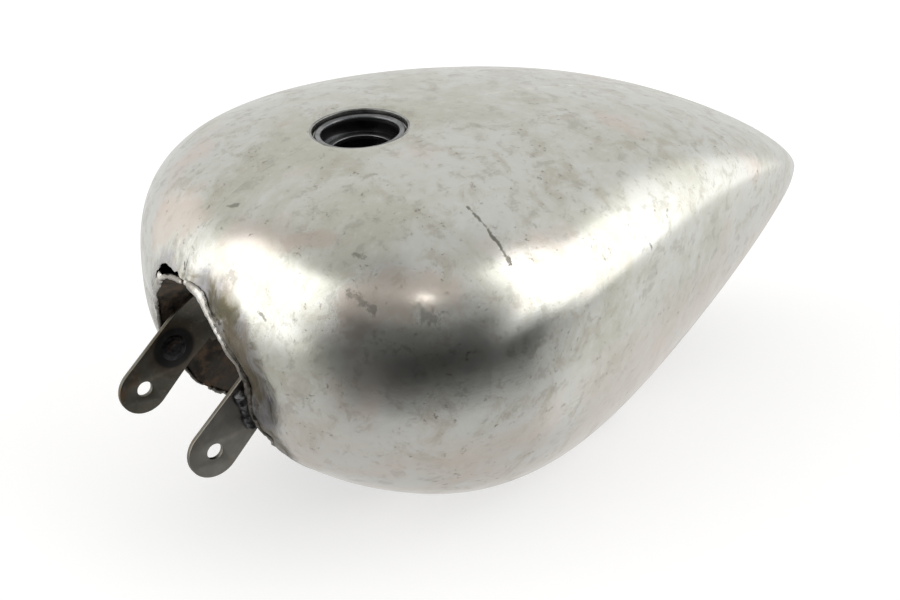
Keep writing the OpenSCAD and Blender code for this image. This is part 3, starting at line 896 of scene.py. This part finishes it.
def mouth_bead():
    """Bead down both sides from the crown, left out over the slot, with a small one along the lip."""
    near = TUNNEL_ROWS[along(TUNNEL_ROWS) > HALF_LENGTH - MOUTH_DEPTH]
    parts = []
    for side, start, seed in ((1, 0.0, 71), (-1, 0.80, 79)):
        arch, arch_out = arch_line(side, (start, 0.99))
        joint, joint_out = joint_line(near, side)
        path = np.concatenate([arch, joint])
        out = np.concatenate([arch_out, joint_out])
        thick = 1.3 - 0.65 * smoothstep(0.35, 0.8, np.linspace(0, 1, len(path)))
        parts.append(bead_parts(
            splayed(path), out, 2.2, 1.7, seed, 0.12, 4.6, ground=0.4, wander=1.3, swell=thick
        ))
    v = np.linspace(-SLOT_TO - 5, 1, 40)
    x = along(S_NOSE)
    r = channel_r(x) + SHEET / 2
    lip = xyz(x + 0.3, r * np.sin(v / r), spring_z(x) + r * np.cos(v / r))
    ahead = xyz(0.8 + 0 * v, 0, 0.6)
    parts.append(bead_parts(lip, ahead, 1.5, 1.0, 127, 0.2, 4.0, ground=0.3, wander=0.7))
    return joined(parts)


def lobe_bead(side, seed):
    """Bead that closes a lobe's lower edge on the tunnel, behind the mouth's bead."""
    rows = TUNNEL_ROWS[along(TUNNEL_ROWS) <= HALF_LENGTH - MOUTH_DEPTH]
    path, out = joint_line(rows, side)
    return bead_parts(path, out, 2.3, 1.6, seed, 0.35, 3.0)


def at_filler(parts):
    """Turned parts moved to the filler's place in the crown, leaning forwards with it."""
    points, faces = parts
    c, s = math.cos(FILLER_LEAN), math.sin(FILLER_LEAN)
    x = points[:, 0] * c + points[:, 2] * s
    z = -points[:, 0] * s + points[:, 2] * c
    return xyz(x, points[:, 1], z) + np.array([FILLER_X, 0, CROWN_Z]), faces


def recess_cup_parts():
    """Pressed ring from the crown's hole down to a shelf on the neck."""
    shelf = LIP_DEPTH + 2.5
    wall = 1.2
    profile = rounded([
        (HOLE_R + 0.6, -1.2), (HOLE_R - 0.9, -1.5), (NECK_R + 1.5, -shelf + 0.6),
        (NECK_R + 0.05, -shelf), (NECK_R + 0.05, -shelf - wall), (NECK_R + 2.0, -shelf - wall),
        (HOLE_R + 0.7, -3.0)
    ], 0.7)
    return at_filler(lathe_parts(profile, 160, 0.12, 81))


def thread_profile(root, crest, first, pitch, turns):
    """Slight ridges of a thread, from the top down."""
    points = []
    for k in range(turns):
        z = first - k * pitch
        points += [(root, z), (crest, z - pitch / 2)]
    return points


def neck_parts():
    """Tube with a rounded lip, threaded for the cap above the seat ring."""
    top = -LIP_DEPTH
    seat = top - SEAT_DEPTH
    bottom = top - NECK_HEIGHT
    thread = thread_profile(NECK_BORE_R, NECK_BORE_R + 0.12, top - 1.9, 1.5, 5)
    lip = [
        (NECK_R, bottom), (NECK_R, top - 0.9), (NECK_R - 0.25, top - 0.35), (NECK_R - 0.8, top),
        (NECK_BORE_R + 1.5, top + 0.05), (NECK_BORE_R + 0.5, top - 0.2), (NECK_BORE_R, top - 0.9)
    ]
    bore = [(NECK_BORE_R, seat), (NECK_BORE_R, bottom)]
    return at_filler(lathe_parts(lip + thread + bore, 160, 0.03, 83))


def seat_parts():
    """Ledge inside the neck that the cap's seal meets."""
    top = -LIP_DEPTH - SEAT_DEPTH
    profile = rounded([
        (SEAT_BORE_R, top - SEAT_THICK), (SEAT_BORE_R, top), (SEAT_BORE_R + 2.4, top + 0.35),
        (NECK_BORE_R + 0.4, top), (NECK_BORE_R + 0.4, top - SEAT_THICK)
    ], 0.5)
    return at_filler(lathe_parts(profile, 128, 0.03, 87))


def filler_weld_parts():
    """Fillet bead round the neck, under the cup's shelf."""
    turn = np.linspace(0, 2 * math.pi, 181)
    c, s = np.cos(turn), np.sin(turn)
    radius = NECK_R + 0.9
    path = xyz(radius * c, radius * s, -LIP_DEPTH - 4.6)
    out = xyz(0.7 * c, 0.7 * s, -0.7)
    return at_filler(bead_parts(path, out, 1.6, 1.2, 89, 0.3, 2.8))


EAR_RUN = np.array([-math.cos(EAR_SLOPE), math.sin(EAR_SLOPE)])


def plug_centre():
    """Place of the plug weld on the ear, as x and z."""
    return tuple(float(v) for v in np.array(EAR_HOLE) + EAR_RUN * PLUG_FROM_HOLE)


def ear_outline():
    """Strip with a round end at its hole and a cut upper end inside the tunnel."""
    hole = np.array(EAR_HOLE)
    across = np.array([math.sin(EAR_SLOPE), math.cos(EAR_SLOPE)])
    front_top = hole + across * EAR_R
    front_top = front_top + EAR_RUN * ((EAR_TOP - front_top[1]) / EAR_RUN[1])
    rear_low = hole - across * EAR_R + EAR_RUN * EAR_STRIP
    corners = [front_top, front_top - (34, 5), front_top - (40, 26), rear_low + (-15, 7)]
    corners = rounded(corners, 4)
    arc = [
        hole - EAR_R * (across * math.cos(t) + EAR_RUN * math.sin(t))
        for t in np.linspace(0, math.pi, 33)
    ]
    return corners + [rear_low] + arc


def plate_object(name, outline, holes, thick, bevel, to_base, materials, cuts=()):
    """Cut plate with filed edges: outline and holes in its own plane, thickness along its normal.

    cuts are heights at which the plate is divided, so that to_base can bend it.
    """
    curve = bpy.data.curves.new(name, "CURVE")
    curve.dimensions = "2D"
    curve.fill_mode = "BOTH"
    curve.extrude = thick / 2 - bevel
    curve.bevel_depth = bevel
    curve.bevel_resolution = 2
    curve.offset = -bevel
    for line in [outline] + holes:
        spline = curve.splines.new("POLY")
        spline.points.add(len(line) - 1)
        spline.use_cyclic_u = True
        for point, (u, v) in zip(spline.points, line):
            point.co = (u, v, 0, 1)
    flat = bpy.data.objects.new(name + "_outline", curve)
    bpy.context.collection.objects.link(flat)
    mesh = bpy.data.meshes.new_from_object(flat.evaluated_get(bpy.context.evaluated_depsgraph_get()))
    bpy.data.objects.remove(flat)
    bpy.data.curves.remove(curve)
    bm = bmesh.new()
    bm.from_mesh(mesh)
    bmesh.ops.remove_doubles(bm, verts=bm.verts, dist=0.001)
    bmesh.ops.recalc_face_normals(bm, faces=bm.faces)
    for face in bm.faces:
        face.material_index = 0 if abs(face.normal.z) > 0.98 else len(materials) - 1
    for v in cuts:
        everything = bm.verts[:] + bm.edges[:] + bm.faces[:]
        bmesh.ops.bisect_plane(bm, geom=everything, plane_co=(0, v, 0), plane_no=(0, 1, 0))
    for vertex in bm.verts:
        vertex.co = Vector(placed(to_base(*vertex.co)))
    bmesh.ops.recalc_face_normals(bm, faces=bm.faces)
    if bm.calc_volume(signed=True) < 0:
        bmesh.ops.reverse_faces(bm, faces=bm.faces)
    bm.to_mesh(mesh)
    bm.free()
    mesh.materials.clear()
    return shaded_object(name, mesh, materials, PLATE_SHARP)


def circle(x, y, r):
    return [(x + r * math.cos(t), y + r * math.sin(t)) for t in full_turn(48)]


def ear_object(name, side, materials):
    middle = EAR_FACE - EAR_THICK / 2

    def on_wall(u, v, w):
        up = max(0.0, v - spring_z(u))
        bend = EAR_FACE - math.sqrt(EAR_FACE ** 2 - up ** 2)
        return u, side * (middle + w - bend), v

    return plate_object(
        name, ear_outline(), [circle(*EAR_HOLE, EAR_HOLE_R)], EAR_THICK, 0.35, on_wall, materials,
        cuts=np.arange(86, EAR_TOP, 2.5)
    )


def ear_bead(side, seed):
    """Heavy bead down the ear's outer face, where the mouth's edge meets it."""
    t = np.linspace(0, 1, 12)
    path = xyz(246 - 6 * t ** 1.3, side * (EAR_FACE + 1.2), 91 - 26 * t)
    out = xyz(0.5 + 0 * t, side, 0)
    return bead_parts(path, out, 4.6, 4.4, seed, 0.35, 4.2, wander=1.0)


def plug_parts(side, seed):
    """Low round weld with a crater and rings of frozen ripples, on the ear's inner face."""
    radii = np.linspace(0.05, PLUG_R, 26)
    fall = np.sqrt(np.clip(1 - (radii / (PLUG_R + 0.3)) ** 2, 0, 1))
    ripples = 0.10 * np.cos(radii * 2.4) - 0.28 * np.exp(-(radii / 1.8) ** 2)
    top = [(r, 0.75 * f + 0.18 * w) for r, f, w in zip(radii, fall, ripples)]
    profile = [(0.05, -0.4)] + [(PLUG_R, -0.4)] + top[::-1]
    points, faces = lathe_parts(profile, 72, 0.12, seed)
    x, z = plug_centre()
    inner_face = EAR_FACE - EAR_THICK
    return xyz(x + points[:, 0], side * (inner_face - points[:, 2]), z + points[:, 1]), faces


# The plate lies just above the lobes' inner edges and is as wide as the channel at its rear upper edge.
PLATE_LOW = float(skin(station(PLATE_X), last_angle(station(PLATE_X), 0.0))[2]) + 1
PLATE_REAR = PLATE_X - PLATE_LENGTH / 2
PLATE_UP = max(0.0, PLATE_LOW + PLATE_THICK - spring_z(PLATE_REAR))
PLATE_HALF = math.sqrt(channel_r(PLATE_REAR) ** 2 - PLATE_UP ** 2) - PLATE_GAP


def rear_plate_object(name, materials):
    u, v = PLATE_LENGTH / 2, PLATE_HALF
    outline = rounded([(-u, -v), (u, -v), (u, v), (-u, v)], 3)
    return plate_object(
        name, outline, [circle(0, 0, PLATE_HOLE_R)], PLATE_THICK, 0.4,
        lambda u, v, h: (PLATE_X + u, v, PLATE_LOW + PLATE_THICK / 2 + h), materials
    )


def rear_plate_beads():
    """A fillet bead along each side of the plate, on the tunnel's wall."""
    parts = []
    for side, seed in ((1, 101), (-1, 103)):
        x = np.linspace(PLATE_X + PLATE_LENGTH / 2 - 3, PLATE_REAR + 3, 12)
        path = xyz(x, side * (PLATE_HALF + 0.4), PLATE_LOW + PLATE_THICK - 0.4)
        out = xyz(0 * x, -side * 0.5, 0.85)
        parts.append(bead_parts(path, out, 2.6, 2.0, seed, 0.4, 3.0))
    return joined(parts)


BUNG_Z = surface_z(BUNG_X, BUNG_Y, -1)


def bung_parts():
    """Threaded boss for the fuel tap, open through the belly."""
    low, high, pitch = -BUNG_BELOW, BUNG_ABOVE, 1.4
    turns = int((high - low - 2) / pitch)
    thread = thread_profile(BUNG_HOLE_R + 0.1, BUNG_HOLE_R - 0.4, high - 1, pitch, turns)
    rim = [
        (BUNG_HOLE_R + 0.9, low), (BUNG_R - 0.8, low), (BUNG_R, low + 0.8), (BUNG_R, high - 0.6),
        (BUNG_R - 0.6, high), (BUNG_HOLE_R + 0.7, high)
    ]
    points, faces = lathe_parts(rim + thread, 96, 0.02, 107)
    return points + np.array([BUNG_X, BUNG_Y, BUNG_Z]), faces


def bung_bead():
    """Fillet bead along the line where the belly meets the bung."""
    turn = np.linspace(0, 2 * math.pi, 121)
    c, s = np.cos(turn), np.sin(turn)
    x = BUNG_X + (BUNG_R + 0.4) * c
    y = BUNG_Y + (BUNG_R + 0.4) * s
    z = np.array([surface_z(u, v, -1) for u, v in zip(x, y)])
    out = xyz(0.8 * c, 0.8 * s, -0.6)
    return bead_parts(xyz(x, y, z - 0.2), out, 1.9, 1.3, 109, 0.3, 2.8)


# ---- Studio ----

WHITE = (1, 1, 1, 1)
DEGREES = 180 / math.pi

# Each panel: azimuth from +X towards +Y, half width, lowest and highest elevation and softness, all in
# degrees, then its radiance. A later panel lies over the earlier ones.
BASE_RADIANCE = 0.69
PANELS = (
    (-125, 55, -50, 70, 14, 0.84),
    (22, 30, 55, 85, 12, 0.48),
    (172, 9, -40, 60, 8, 0.90),
    (8, 10, -22, -2, 8, 0.25),
    (72, 58, -34, -8, 7, 0.10),
    (146, 12, -32, -14, 6, 0.45),
    (55, 45, -32, 27, 9, 0.13),
    (57, 38, 22, 44, 8, 0.36),
    (66, 32, -30, 0, 12, 0.045),
    (160, 14, -50, -25, 6, 0.92),
    (22, 12, -50, -34, 5, 0.62),
    (129, 18, 3, 58, 4, 2.3),
    (135, 9, -8, 10, 4, 2.3),
    (175, 10, -20, 34, 6, 1.45),
    (154, 13, -18, 36, 6, 2.1),
    (-68, 12, -18, 28, 6, 1.15),
    (-22, 30, 10, 46, 5, 2.15),
    (-26, 26, -14, 20, 6, 2.0),
    (60, 2.5, 46, 49, 1.5, 14.0),
)


def studio_world():
    """The panels light the object and show in its reflections; the camera itself sees plain white."""
    world = bpy.data.worlds.new("studio")
    bpy.context.scene.world = world
    world.use_nodes = True
    world.node_tree.nodes.clear()
    sky = Nodes(world.node_tree)
    direction = sky.node("ShaderNodeTexCoord").outputs["Generated"]
    x, y, z = sky.node("ShaderNodeSeparateXYZ", direction).outputs
    azimuth = sky.times(sky.math("ARCTAN2", y, x), DEGREES)
    elevation = sky.times(sky.math("ARCSINE", z), DEGREES)
    radiance = BASE_RADIANCE
    for centre, half, low, high, soft, level in PANELS:
        apart = sky.math("ABSOLUTE", sky.math("WRAP", sky.math("SUBTRACT", azimuth, centre), -180, 180))
        inside = sky.span(apart, half + soft, half - soft)
        above = sky.span(elevation, low - soft, low + soft)
        below = sky.span(elevation, high + soft, high - soft)
        mask = sky.times(inside, sky.times(above, below))
        radiance = sky.math("MULTIPLY_ADD", mask, sky.math("SUBTRACT", level, radiance), radiance)
    lit = sky.node("ShaderNodeBackground", (1.0, 0.995, 0.98, 1), radiance).outputs[0]
    plain = sky.node("ShaderNodeBackground", WHITE).outputs[0]
    seen = sky.node("ShaderNodeLightPath").outputs["Is Camera Ray"]
    mixer = sky.node("ShaderNodeMixShader", seen, lit, plain)
    sky.node("ShaderNodeOutputWorld", mixer.outputs[0])


FLOOR_HALF = 40.0
FLOOR_DROP = 0.001
FLOOR_GLOW = 0.57


def studio_floor():
    """Plain pale floor, clear from below so that the underside can be looked at."""
    mesh = bpy.data.meshes.new("floor")
    corners = [(x * FLOOR_HALF, y * FLOOR_HALF, 0) for x, y in ((-1, -1), (1, -1), (1, 1), (-1, 1))]
    mesh.from_pydata(corners, [], [(0, 1, 2, 3)])
    floor = bpy.data.objects.new("floor", mesh)
    bpy.context.collection.objects.link(floor)
    floor.location.z = -FLOOR_DROP
    material = bpy.data.materials.new("floor")
    material.use_nodes = True
    surface = Nodes(material.node_tree)
    shader = surface.tree.nodes["Principled BSDF"]
    surface.fill(shader, Base_Color=(0.55, 0.55, 0.55, 1), Roughness=1.0, Specular_IOR_Level=0.0,
                 Emission_Color=WHITE, Emission_Strength=FLOOR_GLOW)
    underside = surface.node("ShaderNodeNewGeometry").outputs["Backfacing"]
    clear = surface.node("ShaderNodeBsdfTransparent").outputs[0]
    mixer = surface.node("ShaderNodeMixShader", underside, shader.outputs[0], clear)
    surface.fill(surface.tree.nodes["Material Output"], Surface=mixer.outputs[0])
    mesh.materials.append(material)
    floor.visible_glossy = False


CAMERA_AZIMUTH = math.radians(52.345)
CAMERA_ELEVATION = math.radians(28.251)
CAMERA_DISTANCE = 0.906
CAMERA_TARGET = Vector((0.0552, 0.0, 0.088))
CAMERA_ROLL = math.radians(0.547)
CAMERA_LENS = 56.49
SENSOR_WIDTH = 36.0
CLIP_START = 0.01


def studio_camera():
    data = bpy.data.cameras.new("camera")
    data.lens = CAMERA_LENS
    data.sensor_width = SENSOR_WIDTH
    data.clip_start = CLIP_START
    camera = bpy.data.objects.new("camera", data)
    bpy.context.collection.objects.link(camera)
    flat = math.cos(CAMERA_ELEVATION)
    back = Vector((
        math.cos(CAMERA_AZIMUTH) * flat, math.sin(CAMERA_AZIMUTH) * flat, math.sin(CAMERA_ELEVATION)
    ))
    right = (-back).cross(Vector((0, 0, 1))).normalized()
    up = back.cross(right)
    c, s = math.cos(CAMERA_ROLL), math.sin(CAMERA_ROLL)
    turn = Matrix((right * c - up * s, right * s + up * c, back)).transposed().to_4x4()
    camera.matrix_world = Matrix.Translation(CAMERA_TARGET + back * CAMERA_DISTANCE) @ turn
    bpy.context.scene.camera = camera


# ---- Assembly ----

def stand_for(piece, node):
    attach(piece, "root")
    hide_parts(node)


WELD = "weld_metal"


def build():
    steel = raw_sheet_look()
    plate_looks = [ear_look(), edge_look()]
    ground = ((0.60, 0.585, 0.55), (0.30, 0.28, 0.25))
    bright_weld = weld_look("ground_weld", *ground)
    mouth_weld = weld_look("mouth_weld", *ground, shade_below=106)
    dark_weld = weld_look("burnt_weld", (0.46, 0.45, 0.45), (0.12, 0.115, 0.115))
    ear_weld = weld_look("ear_weld", (0.22, 0.22, 0.225), (0.055, 0.055, 0.06), 0.15)
    scorched = weld_look("scorched_weld", (0.055, 0.055, 0.06), (0.022, 0.022, 0.025), 0.1)
    cup_steel = turned_look("cup_steel", (0.38, 0.38, 0.365), (0.15, 0.15, 0.145))
    neck_steel = turned_look("neck_steel", (0.29, 0.295, 0.30), (0.15, 0.153, 0.16), LIP_DEPTH + 1.2)
    bung_steel = turned_look("bung_steel", (0.44, 0.45, 0.46), (0.24, 0.245, 0.25))

    stand_for(shell("left_shell_skin", 1, steel), "left_shell")
    stand_for(shell("right_shell_skin", -1, steel), "right_shell")
    stand_for(make_object("tunnel_channel", *tunnel_parts(), tunnel_look()), "tunnel")

    front = ROWS[ROWS <= S_RIM_FRONT + TINY]
    rear = ROWS[ROWS >= S_RIM_REAR - TINY]
    stand_for(seam_object("nose_seam", front, False, steel), "nose_seam_weld")
    stand_for(seam_object("spine_seam", rear, True, steel), "spine_seam_weld")

    pieces = (
        ("mouth_bead", mouth_bead(), "mouth_weld", mouth_weld, WELD),
        ("left_lobe_bead", lobe_bead(1, 91), "left_tunnel_weld", mouth_weld, WELD),
        ("right_lobe_bead", lobe_bead(-1, 97), "right_tunnel_weld", mouth_weld, WELD),
        ("filler_bead", filler_weld_parts(), "filler_weld", dark_weld, WELD),
        ("left_ear_bead", ear_bead(1, 113), "left_ear_weld", ear_weld, WELD),
        ("right_ear_bead", ear_bead(-1, 117), "right_ear_weld", ear_weld, WELD),
        ("left_plug", plug_parts(1, 121), "left_plug_weld", scorched, WELD),
        ("right_plug", plug_parts(-1, 123), "right_plug_weld", scorched, WELD),
        ("rear_plate_beads", rear_plate_beads(), "rear_plate_welds", dark_weld, WELD),
        ("bung_bead", bung_bead(), "petcock_bung_weld", bright_weld, WELD),
        ("recess_cup", recess_cup_parts(), "filler_recess_cup", cup_steel, "plate_steel"),
        ("neck", neck_parts(), "filler_neck", neck_steel, "turned_steel"),
        ("seat_ring", seat_parts(), "filler_seat_ring", neck_steel, "turned_steel"),
        ("bung", bung_parts(), "petcock_bung", bung_steel, "turned_steel"),
    )
    for name, (points, faces), node, material, slot in pieces:
        stand_for(make_object(name, points, faces, material), node)

    for name, side in (("left", 1), ("right", -1)):
        ear = ear_object(name + "_ear_plate", side, plate_looks)
        stand_for(ear, name + "_front_ear")
    stand_for(rear_plate_object("rear_plate", plate_looks), "rear_mount_plate")


build()
studio_world()
studio_floor()
studio_camera()
bpy.context.scene.view_settings.view_transform = "Standard"
